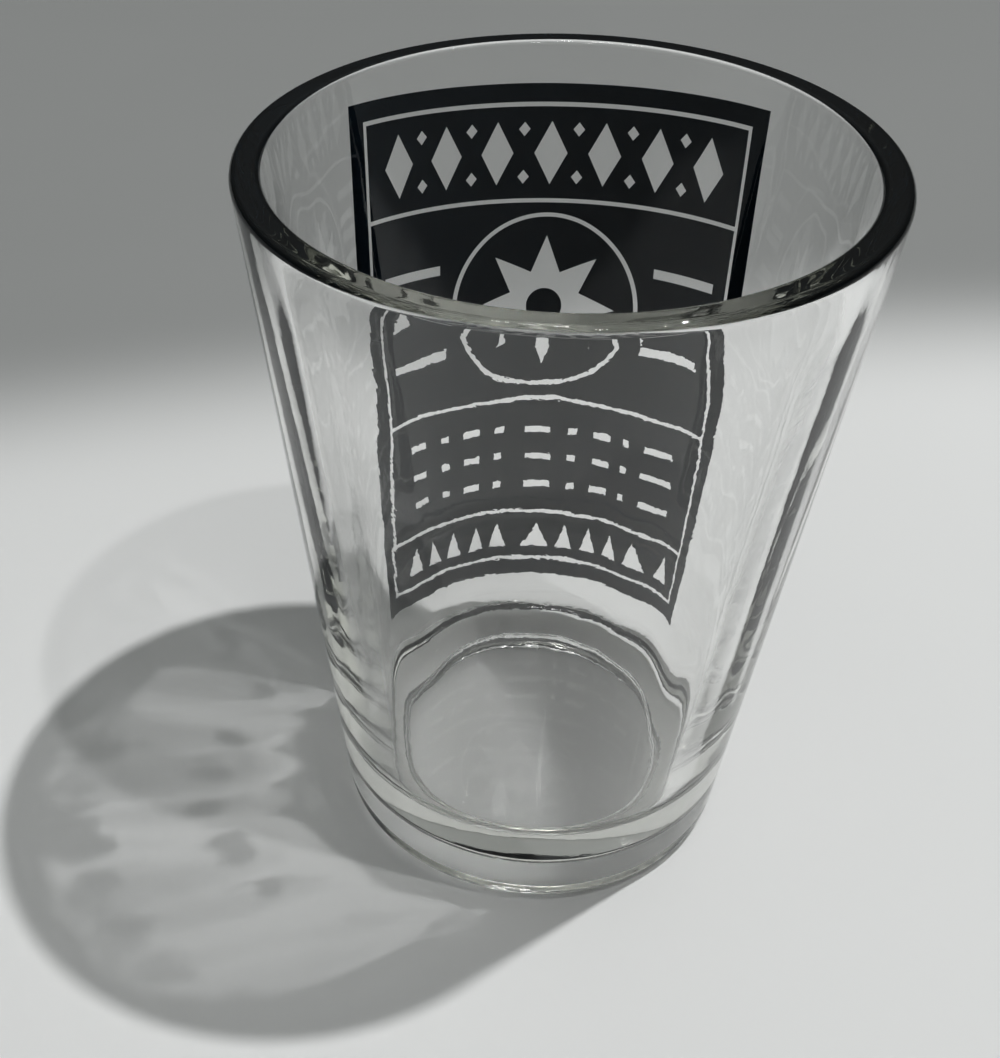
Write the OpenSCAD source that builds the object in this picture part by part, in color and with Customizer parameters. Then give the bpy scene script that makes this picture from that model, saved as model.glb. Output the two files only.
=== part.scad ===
// Shot glass: a clear tapered tumbler with a thick base, which is recessed underneath. A dark enamel
// panel is printed on the outside of its back wall, with a plain geometric design left clear.
// The glass is one piece. Each island of enamel is a film of its own, bonded to the wall.
// Millimetres, +Z up. The origin is the centre of the face that the glass stands on, and the
// print is centred on +Y.

/* [Glass] */
// Height of the glass
glass_h = 60; // [52:1:72]
// Outside diameter that the straight wall would have at the top
rim_d = 46.9; // [42:0.1:52]
// Outside diameter that the straight wall would have at the table
foot_d = 33.4; // [30:0.1:38]
// Thickness of the wall at the top
rim_t = 2.2; // [1.8:0.1:3]
// Radius that rounds the outer edge of the rim
rim_outer = 0.6; // [0.3:0.05:0.9]
// Radius that rounds the inner edge of the rim
rim_inner = 0.5; // [0.3:0.05:0.8]
// Taper of the bore on each side, in degrees
bore_taper = 7.8; // [6.4:0.1:9]
// Height of the floor of the bore above the table
sham_h = 7.1; // [6:0.1:11]
// Radius of the fillet between the floor and the bore
floor_fillet = 2; // [1:0.1:4]
// Radius of the rounded heel at the foot
heel_r = 1.8; // [1:0.1:2.5]
// Diameter of the recess under the foot, at its top
recess_d = 23.6; // [18:0.2:25]
// Depth of that recess
recess_depth = 2.85; // [0.5:0.05:4]
// Slope of the recess on each side, in degrees
recess_slope = 14; // [4:1:20]

/* [Print] */
// Height of the bottom edge of the print above the table
print_low = 8.4; // [6:0.2:12]
// Height of the top edge of the print above the table
print_high = 56; // [50:0.5:57]
// Width of the print, measured around the wall
print_w = 38.6; // [30:0.2:42]
// Thickness of the fired enamel
film_t = 0.1; // [0.06:0.02:0.2]
// Width of the border of the print
border_w = 1.5; // [1:0.1:2.5]
// Width of the clear lines that part the islands of enamel
gap_w = 0.4; // [0.25:0.05:0.6]
// Height of the header, which holds the row of diamonds
header_h = 7.8; // [6:0.1:9]
// Height of the field, which holds the roundel
field_h = 18.8; // [17:0.1:20]
// Height of the footer, which holds the row of triangles
footer_h = 4.8; // [4:0.1:6]
// Radius of the roundel
roundel_r = 8.2; // [6:0.1:8.6]
// Number of points on the star
star_points = 8; // [5:1:12]
// Number of diamonds in the header, an odd number
diamonds = 7; // [3:2:7]
// Number of rows of dashes on the lower panel
dash_rows = 3; // [2:1:4]

/* [Hidden] */

$fn = 144;
ENAMEL = [0.10, 0.12, 0.15];
CLEAR = [0.82, 0.86, 0.84, 0.35];

// The straight outer wall, from the table to the top
foot_r = foot_d / 2;
taper = atan((rim_d / 2 - foot_r) / glass_h);
// Radius of the bore at the top, and the centres of the circles that round the rim
lip_r = rim_d / 2 - rim_t;
outer_z = glass_h - rim_outer;
outer_x = foot_r + outer_z * tan(taper) - rim_outer / cos(taper);
inner_z = glass_h - rim_inner;
inner_x = lip_r - rim_inner * tan(bore_taper) + rim_inner / cos(bore_taper);
// Radius of the bore at the level of its floor, and the centre of the fillet there
floor_r = lip_r - (glass_h - sham_h) * tan(bore_taper);
fillet_x = floor_r + floor_fillet * tan(bore_taper) - floor_fillet / cos(bore_taper);
// Centre of the circle that rounds the heel, and the radius of the mouth of the recess
heel_x = foot_r + heel_r * tan(taper) - heel_r / cos(taper);
mouth_r = recess_d / 2 + recess_depth * tan(recess_slope);

// The bands of the print, from the bottom up
inner_w = print_w - 2 * (border_w + gap_w);
footer_low = print_low + border_w + gap_w;
panel_low = footer_low + footer_h + gap_w;
header_low = print_high - border_w - gap_w - header_h;
field_low = header_low - gap_w - field_h;
panel_high = field_low - gap_w;
roundel_z = field_low + field_h / 2;
// Cutters reach this far in and out from the wall
cut_depth = 4;

// Outer radius of the straight wall at height z
function wall_r(z) = foot_r + z * tan(taper);

// The solid outline of the tumbler, right of the axis
module outer_profile() {
    polygon([
        [0, 0],
        [heel_x, 0],
        [heel_x + heel_r * cos(taper), heel_r - heel_r * sin(taper)],
        [outer_x + rim_outer * cos(taper), outer_z - rim_outer * sin(taper)],
        [outer_x, glass_h],
        [0, glass_h]
    ]);
    translate([heel_x, heel_r]) circle(heel_r);
    translate([outer_x, outer_z]) circle(rim_outer);
}

// The space inside the tumbler, right of the axis
module bore_profile() {
    polygon([
        [0, sham_h],
        [fillet_x, sham_h],
        [fillet_x + floor_fillet * cos(bore_taper), sham_h + floor_fillet * (1 - sin(bore_taper))],
        [inner_x - rim_inner * cos(bore_taper), inner_z + rim_inner * sin(bore_taper)],
        [inner_x, glass_h],
        [inner_x, glass_h + 1],
        [0, glass_h + 1]
    ]);
    translate([fillet_x, sham_h + floor_fillet]) circle(floor_fillet);
}

// The recess under the foot, right of the axis
module recess_profile() {
    polygon([
        [0, -1],
        [mouth_r + tan(recess_slope), -1],
        [recess_d / 2, recess_depth],
        [0, recess_depth]
    ]);
}

// One pressed piece of clear glass, hollow above the base and recessed under it
module glass_body() {
    color(CLEAR)
    rotate_extrude() {
        difference() {
            outer_profile();
            bore_profile();
            recess_profile();
        }
        translate([inner_x, inner_z]) circle(rim_inner);
    }
}

// Children drawn flat are bent onto the wall at the point that lies s along the print from its
// centre line and z up it. X runs along the print, Y up it and Z out of the wall. The print was
// a flat sheet, so its straight lines stay straight when the cone is unrolled.
module on_wall(s, z) {
    slant = wall_r(z) / sin(taper);
    sheet_angle = atan2(s, slant);
    r = norm([s, slant]) * sin(taper);
    rotate([0, 0, -sheet_angle / sin(taper)])
        translate([0, r, (r - foot_r) / tan(taper)])
            rotate([90 + taper, 0, 180])
                rotate([0, 0, -sheet_angle])
                    mirror([1, 0, 0])
                        children();
}

// The same, with a flat outline pushed through the film
module cut_through(s, z) {
    on_wall(s, z) translate([0, 0, -cut_depth]) linear_extrude(2 * cut_depth) children();
}

// The cone of enamel that the print is cut from
module film() {
    rotate_extrude()
        polygon([
            [wall_r(print_low - 1), print_low - 1],
            [wall_r(print_low - 1) + film_t, print_low - 1],
            [wall_r(print_high + 2) + film_t, print_high + 2],
            [wall_r(print_high + 2), print_high + 2]
        ]);
}

// All of space that is above the straight line at height z, or below it when side is -1
module beyond_line(z, side) {
    big = 2 * rim_d;
    on_wall(0, z) translate([-big, side > 0 ? 0 : -big, -rim_d / 2 - 1]) cube([2 * big, big, big]);
}

// All of space between the print's two side lines, w apart, taken at their middle height
module between_sides(w) {
    big = 2 * rim_d;
    for (side = [-1, 1])
        on_wall(side * w / 2, (print_low + print_high) / 2)
            translate([side > 0 ? -w / 2 : 0, -big / 2, -rim_d / 4]) cube([w / 2, big, rim_d / 2]);
    on_wall(0, (print_low + print_high) / 2)
        translate([-w / 3, -big / 2, -rim_d / 4]) cube([2 * w / 3, big, rim_d / 2]);
}

// A plain four-sided sheet of enamel, w wide, between two heights
module sheet(low, high, w) {
    intersection() {
        film();
        beyond_line(low, 1);
        beyond_line(high, -1);
        between_sides(w);
    }
}

module diamond(w, h) {
    polygon([[-w / 2, 0], [0, -h / 2], [w / 2, 0], [0, h / 2]]);
}

module star(points, outer, inner) {
    polygon([for (i = [0 : 2 * points - 1])
        (i % 2 == 0 ? outer : inner) * [sin(180 * i / points), cos(180 * i / points)]]);
}

// The plain border all around
module print_border() {
    color(ENAMEL)
    difference() {
        sheet(print_low, print_high, print_w);
        intersection() {
            beyond_line(print_low + border_w, 1);
            beyond_line(print_high - border_w, -1);
            between_sides(print_w - 2 * border_w);
        }
    }
}

// The header, with its row of clear diamonds and a small one in each space
module print_header() {
    pitch = inner_w / (diamonds + 0.4);
    color(ENAMEL)
    difference() {
        sheet(header_low, header_low + header_h, inner_w);
        for (i = [0 : diamonds - 1])
            cut_through((i - (diamonds - 1) / 2) * pitch, header_low + header_h / 2)
                diamond(pitch * 0.62, header_h * 0.7);
        for (i = [0 : diamonds - 2], high = [0.24, 0.76])
            cut_through((i + 1 - diamonds / 2) * pitch, header_low + header_h * high)
                diamond(pitch * 0.22, header_h * 0.16);
    }
}

// The field around the roundel, with three clear bars at each side of it
module print_field() {
    bar_h = 0.9;
    bar_in = roundel_r + gap_w + 1.4;
    bar_out = inner_w / 2 - 1.4;
    color(ENAMEL)
    difference() {
        sheet(field_low, field_low + field_h, inner_w);
        cut_through(0, roundel_z) circle(roundel_r + gap_w);
        for (side = [-1, 1], row = [-1, 0, 1])
            cut_through(side * (bar_in + bar_out) / 2, roundel_z + row * 4)
                square([bar_out - bar_in, bar_h], center = true);
    }
}

// The round island in the field, with a clear star in it
module print_roundel() {
    color(ENAMEL)
    difference() {
        intersection() {
            film();
            cut_through(0, roundel_z) circle(roundel_r);
        }
        cut_through(0, roundel_z) star(star_points, roundel_r * 0.8, roundel_r * 0.42);
    }
}

// The small island in the middle of the star
module print_hub() {
    color(ENAMEL)
    intersection() {
        film();
        cut_through(0, roundel_z) circle(roundel_r * 0.2);
    }
}

// The lower panel, with rows of clear dashes
module print_panel() {
    height = panel_high - panel_low;
    row_gap = height / (dash_rows + 1);
    dashes = 9;
    pitch = inner_w * 0.86 / dashes;
    color(ENAMEL)
    difference() {
        sheet(panel_low, panel_high, inner_w);
        for (row = [1 : dash_rows], i = [0 : dashes - 1])
            cut_through((i - (dashes - 1) / 2) * pitch, panel_low + row * row_gap)
                square([pitch * (i % 2 == 0 ? 0.68 : 0.26), 0.7], center = true);
    }
}

// The footer, with a row of clear triangles
module print_footer() {
    triangles = 11;
    pitch = inner_w / (triangles + 0.6);
    half_h = footer_h * 0.28;
    color(ENAMEL)
    difference() {
        sheet(footer_low, footer_low + footer_h, inner_w);
        for (i = [0 : triangles - 1])
            cut_through((i - (triangles - 1) / 2) * pitch, footer_low + footer_h / 2)
                polygon([[-pitch * 0.36, -half_h], [pitch * 0.36, -half_h], [0, half_h]]);
    }
}

glass_body();
print_border();
print_header();
print_field();
print_roundel();
print_hub();
print_panel();
print_footer();
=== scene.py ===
"""The looks of the shot glass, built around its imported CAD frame. Lengths are in metres."""

import math

import bpy
from mathutils import Matrix, Vector


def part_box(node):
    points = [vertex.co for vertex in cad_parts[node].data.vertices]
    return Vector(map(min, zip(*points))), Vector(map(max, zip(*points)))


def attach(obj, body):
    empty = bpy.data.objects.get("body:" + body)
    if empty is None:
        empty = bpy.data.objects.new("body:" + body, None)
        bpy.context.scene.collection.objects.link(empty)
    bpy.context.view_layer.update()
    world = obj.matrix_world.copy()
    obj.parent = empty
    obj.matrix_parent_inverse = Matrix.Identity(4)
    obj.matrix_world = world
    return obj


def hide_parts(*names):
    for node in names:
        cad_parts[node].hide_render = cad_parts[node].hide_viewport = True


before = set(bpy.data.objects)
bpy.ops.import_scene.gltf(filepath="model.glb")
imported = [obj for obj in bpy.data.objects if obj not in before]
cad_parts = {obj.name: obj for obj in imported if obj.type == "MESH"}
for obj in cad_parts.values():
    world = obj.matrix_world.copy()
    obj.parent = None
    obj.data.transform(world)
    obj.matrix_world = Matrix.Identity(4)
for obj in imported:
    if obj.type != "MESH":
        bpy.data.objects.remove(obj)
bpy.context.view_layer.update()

MM = 0.001

# The driving dimensions of the glass, as in the CAD model
GLASS_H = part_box("glass_body")[1][2]
FOOT_R = 16.7 * MM
WALL_TOP_R = 23.45 * MM
RIM_T = 2.2 * MM
RIM_OUTER_ROUND = 0.6 * MM
RIM_INNER_ROUND = 0.5 * MM
BORE_TAPER = math.radians(7.8)
SHAM_H = 7.1 * MM
FLOOR_FILLET = 2.0 * MM
HEEL_R = 1.8 * MM
RECESS_R = 11.8 * MM
RECESS_MOUTH_R = 12.51 * MM
RECESS_DEPTH = 2.85 * MM
RECESS_ROUND = 0.6 * MM
RECESS_MOUTH_ROUND = 0.4 * MM

# How finely the glass is turned: around it, and across the top of its recess
SEGMENTS = 320
RECESS_STEPS = 12
# The enamel is bonded to the wall, so the wall reaches this far into its films
BOND = 0.03 * MM
# How deep the ripples of the pressed wall are: inside, outside, and in the flutes inside its sides
BORE_RIPPLE = 0.11 * MM
WALL_RIPPLE = 0.035 * MM
SIDE_RIPPLE = 0.04 * MM

# How far round from +Y the bond holds, which is past the print's side edges, and where it fades out
BOND_SIDE = 62
BOND_FADE = 14

# The floor: how far it reaches, and how far it lies under the foot
FLOOR_R = 3.0
FLOOR_GAP = 0.01 * MM

# The camera: its place, its heading from +Y towards +X, and how far it looks down
CAMERA_DISTANCE = 99.1 * MM
CAMERA_HEIGHT = 105 * MM
CAMERA_BEARING = math.radians(3.7)
CAMERA_HEADING = -0.0554
CAMERA_PITCH = 0.669
CAMERA_ROLL = -0.012
CAMERA_LENS = 51.8
CAMERA_SHIFT = 0.0945

# The two lamps: how large they are, where they stand, how strong they are, and their pools of light
LAMP_RADIUS = 0.008
KEY_PLACE = (0.2, 0.047, 0.6)
KEY_TARGET = (-0.01, -0.022, 0.0)
KEY_WATTS = 6.9
KEY_CONE = 44
KEY_BLEND = 0.5
KEY_SQUEEZE = 0.4
SECOND_PLACE = (0.211, -0.144, 0.6)
SECOND_WATTS = 1.7
WIDE_CONE = 120
# The share of their light that throws sharp caustics
SHARP_SHARE = 0.55
# How strong the key's third part is, as a share of the key. It reaches the floor only through glass
THROUGH_SHARE = 0.7
# The small bulbs overhead, seen as sparks on the glass
BULBS = (
    (-0.10, 0.10, 0.8),
    (-0.04, 0.12, 0.8),
    (0.02, 0.10, 0.8),
    (-0.07, -0.30, 0.7),
    (0.10, -0.26, 0.7),
)
BULB_RADIUS = 0.022
BULB_WATTS = 0.35

# How many surfaces light is followed through, as much of it is trapped inside the rim
BOUNCES = 48


# ---------------------------------------------------------------- the glass

def rounded(before, corner, after, radius, steps):
    """Points on the arc of that radius that rounds a corner between two straight runs."""
    back = (Vector(before) - Vector(corner)).normalized()
    ahead = (Vector(after) - Vector(corner)).normalized()
    half = back.angle(ahead) / 2
    centre = Vector(corner) + (back + ahead).normalized() * radius / math.sin(half)
    start = Vector(corner) + back * radius / math.tan(half) - centre
    turn = start.angle_signed(Vector(corner) + ahead * radius / math.tan(half) - centre)
    points = []
    for i in range(steps + 1):
        a = -turn * i / steps
        x = start.x * math.cos(a) - start.y * math.sin(a)
        y = start.x * math.sin(a) + start.y * math.cos(a)
        points.append((centre.x + x, centre.y + y))
    return points


def glass_profile():
    """The outline of the glass from the middle of its foot, up the wall, over the rim and down the
    bore to the middle of its floor. Each point is (radius, height, surface), and an arc's surface
    is "edge"."""
    lip_r = WALL_TOP_R - RIM_T
    floor_r = lip_r - (GLASS_H - SHAM_H) * math.tan(BORE_TAPER)
    corners = (
        # radius, height, rounding, steps round it, then the run after it: surface, steps
        (RECESS_R, RECESS_DEPTH, RECESS_ROUND, 8, "foot", 8),
        (RECESS_MOUTH_R, 0.0, RECESS_MOUTH_ROUND, 6, "foot", 4),
        (FOOT_R, 0.0, HEEL_R, 16, "wall", 90),
        (WALL_TOP_R, GLASS_H, RIM_OUTER_ROUND, 14, "rim", 6),
        (lip_r, GLASS_H, RIM_INNER_ROUND, 14, "bore", 74),
        (floor_r, SHAM_H, FLOOR_FILLET, 24, "floor", 14),
    )
    places = [(0.0, RECESS_DEPTH)] + [corner[:2] for corner in corners] + [(0.0, SHAM_H)]
    arcs = []
    for before, (r, z, radius, steps, _, _), after in zip(places, corners, places[2:]):
        arcs.append(rounded(before, (r, z), after, radius, steps))
    profile = [(RECESS_R * i / RECESS_STEPS, RECESS_DEPTH, "foot") for i in range(RECESS_STEPS)]
    for arc, next_arc, corner in zip(arcs, arcs[1:] + [[places[-1]]], corners):
        surface, steps = corner[4:]
        profile += [(r, z, "edge") for r, z in arc]
        start = arc[-1]
        end = next_arc[0]
        for k in range(1, steps):
            t = k / steps
            r = start[0] + (end[0] - start[0]) * t
            z = start[1] + (end[1] - start[1]) * t
            profile.append((r, z, surface))
    profile.append((0.0, SHAM_H, "floor"))
    return profile


def ripple(angle, z, waves):
    """A smooth unevenness from -1 to 1. Each wave is (size, lobes, turns over the height, phase)."""
    total = sum(size for size, lobes, turns, phase in waves)
    height = z / GLASS_H
    value = 0.0
    for size, lobes, turns, phase in waves:
        value += size * math.sin(lobes * angle + turns * math.tau * height + phase)
    return value / total


BORE_WAVES = (
    (1.3, 3, 0.0, 1.57),
    (0.9, 5, 0.1, 1.57),
    (0.5, 11, -0.5, 2.1),
    (0.35, 17, 0.4, 4.0),
    (0.12, 29, -0.9, 1.2),
)
WALL_WAVES = (
    (1.0, 4, 0.2, 1.1),
    (0.8, 9, -0.4, 3.6),
    (0.5, 19, 0.7, 0.2),
    (0.3, 2, 2.3, 2.4),
)
SIDE_WAVES = (
    (1.0, 23, 0.15, 0.4),
    (0.6, 31, -0.2, 2.0),
)


def ease(x):
    """0 below 0, 1 above 1 and smooth between."""
    x = min(1.0, max(0.0, x))
    return x * x * (3 - 2 * x)


def printed(angle):
    """1 behind the print, falling to 0 past its sides. The angle is from +Y towards +X."""
    off = abs((angle + math.pi) % math.tau - math.pi)
    return 1 - ease((math.degrees(off) - BOND_SIDE) / BOND_FADE)


def side(angle):
    """1 at the left and right of the glass, falling to 0 at its front and back."""
    return ease(1.6 * abs(math.sin(angle)) - 0.6)


def surface_offset(angle, z, surface):
    """How far a point of the pressed glass lies out from its true circle."""
    if surface == "wall":
        ends = ease((z - 2 * MM) / (5 * MM)) * ease((GLASS_H - 2 * MM - z) / (5 * MM))
        behind = printed(angle)
        free = WALL_RIPPLE * ends * (ripple(angle, z, WALL_WAVES) - 1) / 2
        return free * (1 - behind) + BOND * ends * behind
    if surface == "bore":
        ends = ease((z - SHAM_H - 4 * MM) / (14 * MM)) * ease((GLASS_H - 1 * MM - z) / (6 * MM))
        flutes = SIDE_RIPPLE * side(angle) * ripple(angle, z, SIDE_WAVES)
        return ends * (BORE_RIPPLE * ripple(angle, z, BORE_WAVES) + flutes)
    return 0.0


def turned(name, profile, segments):
    """A closed mesh turned from a profile that starts and ends on the axis."""
    verts = [(0.0, 0.0, profile[0][1])]
    rings = profile[1:-1]
    for r, z, surface in rings:
        for k in range(segments):
            angle = math.tau * k / segments
            radius = r + surface_offset(angle, z, surface)
            verts.append((radius * math.sin(angle), radius * math.cos(angle), z))
    last = len(verts)
    verts.append((0.0, 0.0, profile[-1][1]))
    faces = []
    for k in range(segments):
        n = (k + 1) % segments
        faces.append((0, 1 + k, 1 + n))
        for i in range(len(rings) - 1):
            low = 1 + i * segments
            high = low + segments
            faces.append((low + k, high + k, high + n, low + n))
        top = 1 + (len(rings) - 1) * segments
        faces.append((last, top + n, top + k))
    mesh = bpy.data.meshes.new(name)
    mesh.from_pydata(verts, [], faces)
    mesh.update()
    mesh.polygons.foreach_set("use_smooth", [True] * len(mesh.polygons))
    piece = bpy.data.objects.new(name, mesh)
    bpy.context.scene.collection.objects.link(piece)
    return piece


# ---------------------------------------------------------------- materials

def new_material(name):
    """A node material with a Principled shader: (material, tree, shader)."""
    material = bpy.data.materials.new(name)
    material.use_nodes = True
    tree = material.node_tree
    return material, tree, tree.nodes["Principled BSDF"]


def add(tree, kind, **settings):
    """A node with its settings: attributes by name, sockets by name in a dict called inputs."""
    node = tree.nodes.new(kind)
    for socket, value in settings.pop("inputs", {}).items():
        node.inputs[socket].default_value = value
    for attribute, value in settings.items():
        setattr(node, attribute, value)
    return node


def noise(tree, place, scale, detail=2.0, roughness=0.5):
    """The value of a noise texture in the object's own coordinates, with scale in waves per metre."""
    inputs = {"Scale": scale, "Detail": detail, "Roughness": roughness}
    node = add(tree, "ShaderNodeTexNoise", inputs=inputs)
    tree.links.new(place, node.inputs["Vector"])
    return node.outputs["Fac"]


def remap(tree, value, low, high, start=0.0, end=1.0):
    """value from [start, end] to [low, high]."""
    inputs = {"From Min": start, "From Max": end, "To Min": low, "To Max": high}
    node = add(tree, "ShaderNodeMapRange", inputs=inputs)
    tree.links.new(value, node.inputs["Value"])
    return node.outputs["Result"]


def bump(tree, height, distance, strength, under=None):
    """The normal of a surface that height raises by distance, on top of the normal under it."""
    node = add(tree, "ShaderNodeBump", inputs={"Distance": distance, "Strength": strength})
    tree.links.new(height, node.inputs["Height"])
    if under is not None:
        tree.links.new(under, node.inputs["Normal"])
    return node.outputs["Normal"]


def glass_material():
    """Clear pressed glass, with the faint orange peel that the mould leaves."""
    material, tree, shader = new_material("clear_glass")
    place = add(tree, "ShaderNodeTexCoord").outputs["Object"]
    peel = bump(tree, noise(tree, place, 260, detail=1.0), 0.02 * MM, 0.5)
    fine = bump(tree, noise(tree, place, 1500, detail=2.0), 0.004 * MM, 0.35, under=peel)
    shader.inputs["Base Color"].default_value = (1, 1, 1, 1)
    shader.inputs["Roughness"].default_value = 0.0
    shader.inputs["IOR"].default_value = 1.51
    shader.inputs["Transmission Weight"].default_value = 1.0
    tree.links.new(fine, shader.inputs["Normal"])
    tint = {"Color": (0.5, 0.52, 0.4, 1), "Density": 10}
    absorb = add(tree, "ShaderNodeVolumeAbsorption", inputs=tint)
    tree.links.new(absorb.outputs["Volume"], tree.nodes["Material Output"].inputs["Volume"])
    return material


def enamel_material():
    """Dark navy enamel, fired on: slightly uneven in colour, with a fine screen texture. Its back
    is bonded to the glass and has no gloss of its own. Its face has the gloss, as a coat."""
    material, tree, shader = new_material("enamel")
    place = add(tree, "ShaderNodeTexCoord").outputs["Object"]
    cloudy = noise(tree, place, 180, detail=4.0, roughness=0.6)
    mix = add(tree, "ShaderNodeMix", data_type="RGBA")
    mix.inputs["A"].default_value = (0.006, 0.011, 0.017, 1)
    mix.inputs["B"].default_value = (0.012, 0.020, 0.029, 1)
    tree.links.new(cloudy, mix.inputs["Factor"])
    tree.links.new(mix.outputs["Result"], shader.inputs["Base Color"])
    outward = add(tree, "ShaderNodeVectorMath", operation="DOT_PRODUCT")
    tree.links.new(add(tree, "ShaderNodeNewGeometry").outputs["Normal"], outward.inputs[0])
    outward.inputs[1].default_value = (0, 1, 0)
    face = remap(tree, outward.outputs["Value"], 0.0, 1.0, start=0.1, end=0.3)
    tree.links.new(face, shader.inputs["Coat Weight"])
    rough = remap(tree, noise(tree, place, 900, detail=3.0), 0.5, 0.7, start=0.3, end=0.7)
    tree.links.new(rough, shader.inputs["Roughness"])
    grain = bump(tree, noise(tree, place, 5200, detail=2.0), 0.01 * MM, 0.4)
    tree.links.new(grain, shader.inputs["Normal"])
    shader.inputs["IOR"].default_value = 1.08
    shader.inputs["Coat IOR"].default_value = 1.5
    shader.inputs["Coat Roughness"].default_value = 0.28
    return material


def floor_material():
    """A plain pale sheet, with the least unevenness that keeps it from looking flat."""
    material, tree, shader = new_material("floor")
    place = add(tree, "ShaderNodeTexCoord").outputs["Object"]
    mix = add(tree, "ShaderNodeMix", data_type="RGBA")
    mix.inputs["A"].default_value = (0.74, 0.745, 0.74, 1)
    mix.inputs["B"].default_value = (0.79, 0.795, 0.79, 1)
    tree.links.new(noise(tree, place, 14, detail=3.0), mix.inputs["Factor"])
    tree.links.new(mix.outputs["Result"], shader.inputs["Base Color"])
    shader.inputs["Roughness"].default_value = 0.9
    return material


# ---------------------------------------------------------------- the stage

def ring(name, inner, outer, material):
    """A flat ring of the floor, or a disc when inner is 0, just under the foot of the glass."""
    steps = 128
    verts = []
    for radius in (outer, inner) if inner else (outer,):
        for i in range(steps):
            a = math.tau * i / steps
            verts.append((radius * math.cos(a), radius * math.sin(a), 0.0))
    faces = [tuple(range(steps))]
    if inner:
        faces = [(i, (i + 1) % steps, steps + (i + 1) % steps, steps + i) for i in range(steps)]
    mesh = bpy.data.meshes.new(name)
    mesh.from_pydata(verts, [], faces)
    mesh.materials.append(material)
    piece = bpy.data.objects.new(name, mesh)
    piece.location.z = -FLOOR_GAP
    bpy.context.scene.collection.objects.link(piece)
    return piece


def build_floor(material):
    """A large round floor, on which the glass throws its caustics."""
    foot_edge = FOOT_R - HEEL_R
    for name, inner, outer in (("floor_under", 0.0, foot_edge), ("floor", foot_edge, FLOOR_R)):
        ring(name, inner, outer, material).cycles.is_caustics_receiver = True


def spot(name, place, target, watts, cone, blend=1.0, squeeze=1.0, caustics=False, radius=LAMP_RADIUS):
    """A small lamp at place that shines at target. squeeze narrows its cone across the stage."""
    data = bpy.data.lights.new(name, "SPOT")
    data.energy = watts
    data.shadow_soft_size = radius
    data.spot_size = math.radians(cone)
    data.spot_blend = blend
    data.cycles.is_caustics_light = caustics
    lamp = bpy.data.objects.new(name, data)
    lamp.location = place
    lamp.rotation_euler = (Vector(target) - Vector(place)).to_track_quat("-Z", "Y").to_euler()
    lamp.scale = (squeeze, 1.0, 1.0)
    bpy.context.scene.collection.objects.link(lamp)
    return lamp


def build_lights():
    """Two small lamps high on the right, which throw two shadows to the left. Each is a pair in one
    place: one half throws sharp caustics through the glass, the other half soft ones. The sharp half
    doesn't reach the floor inside the foot, so a third part of the key makes up for it there."""
    centre = (0.0, 0.0, 0.0)
    for half, caustics, share in (("soft", False, 1 - SHARP_SHARE), ("sharp", True, SHARP_SHARE)):
        spot("key_" + half, KEY_PLACE, KEY_TARGET, KEY_WATTS * share, KEY_CONE, KEY_BLEND, KEY_SQUEEZE,
             caustics)
        spot("second_" + half, SECOND_PLACE, centre, SECOND_WATTS * share, WIDE_CONE, caustics=caustics)
    unseen_by_floor = [
        spot("key_through", KEY_PLACE, KEY_TARGET, KEY_WATTS * THROUGH_SHARE, KEY_CONE, KEY_BLEND,
             KEY_SQUEEZE)
    ]
    for place in BULBS:
        unseen_by_floor.append(spot("bulb", place, centre, BULB_WATTS, WIDE_CONE, radius=BULB_RADIUS))
    for lamp in unseen_by_floor:
        lamp.visible_diffuse = False


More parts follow.
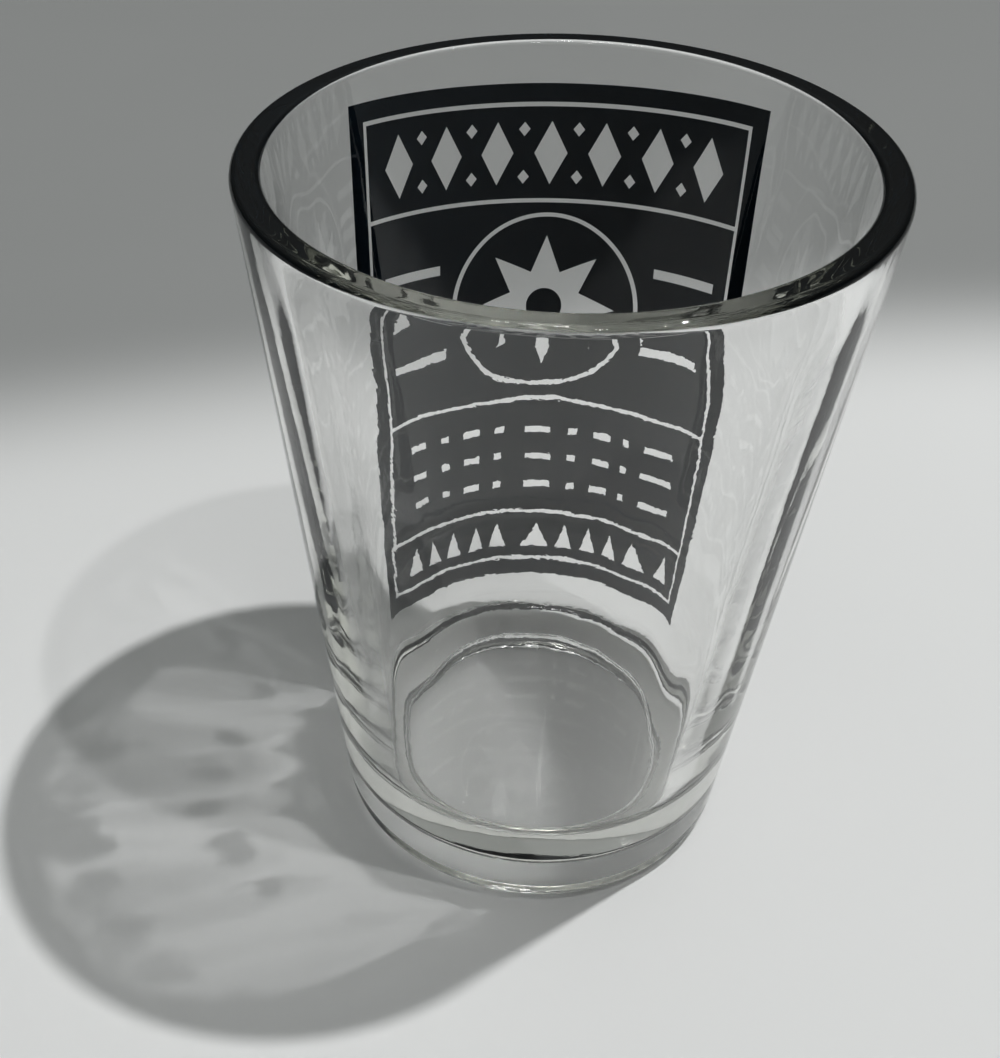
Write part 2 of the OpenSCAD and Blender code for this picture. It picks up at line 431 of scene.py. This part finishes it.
def build_world():
    """A dim room, darkest at the level of the glass and paler overhead."""
    world = bpy.data.worlds.new("studio")
    world.use_nodes = True
    tree = world.node_tree
    direction = add(tree, "ShaderNodeTexCoord").outputs["Generated"]
    split = add(tree, "ShaderNodeSeparateXYZ")
    tree.links.new(direction, split.inputs[0])
    ramp = add(tree, "ShaderNodeValToRGB")
    stops = ramp.color_ramp.elements
    stops[0].position = 0.0
    stops[0].color = (0.035, 0.037, 0.036, 1)
    stops[1].position = 0.9
    stops[1].color = (0.33, 0.34, 0.335, 1)
    middle = stops.new(0.35)
    middle.color = (0.08, 0.083, 0.082, 1)
    tree.links.new(split.outputs["Z"], ramp.inputs["Fac"])
    tree.links.new(ramp.outputs["Color"], tree.nodes["Background"].inputs["Color"])
    bpy.context.scene.world = world


def build_camera():
    """The camera stands in front of the glass and looks down into it."""
    bearing = CAMERA_BEARING
    place = Vector((
        -CAMERA_DISTANCE * math.sin(bearing), -CAMERA_DISTANCE * math.cos(bearing), CAMERA_HEIGHT
    ))
    ahead = Vector((
        math.sin(CAMERA_HEADING) * math.cos(CAMERA_PITCH),
        math.cos(CAMERA_HEADING) * math.cos(CAMERA_PITCH),
        -math.sin(CAMERA_PITCH),
    ))
    right = ahead.cross(Vector((0, 0, 1))).normalized()
    up = right.cross(ahead)
    level = Matrix((right, up, -ahead)).transposed().to_4x4()
    data = bpy.data.cameras.new("camera")
    data.lens = CAMERA_LENS
    data.shift_x = CAMERA_SHIFT
    data.clip_start = 0.001
    camera = bpy.data.objects.new("camera", data)
    camera.matrix_world = Matrix.Translation(place) @ level @ Matrix.Rotation(CAMERA_ROLL, 4, "Z")
    bpy.context.scene.collection.objects.link(camera)
    bpy.context.scene.camera = camera


# ---------------------------------------------------------------- the object

build_camera()
build_world()
build_lights()
build_floor(floor_material())

glass = turned("glass", glass_profile(), SEGMENTS)
glass.data.materials.append(glass_material())
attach(glass, "root")
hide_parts("glass_body")
glass.cycles.is_caustics_caster = True

enamel = enamel_material()
for name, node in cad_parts.items():
    if name.startswith("print_"):
        for slot in node.material_slots:
            slot.material = enamel

scene = bpy.context.scene
scene.view_settings.view_transform = "Standard"
scene.view_settings.look = "Medium High Contrast"
scene.cycles.max_bounces = BOUNCES
scene.cycles.transmission_bounces = BOUNCES
scene.cycles.glossy_bounces = BOUNCES
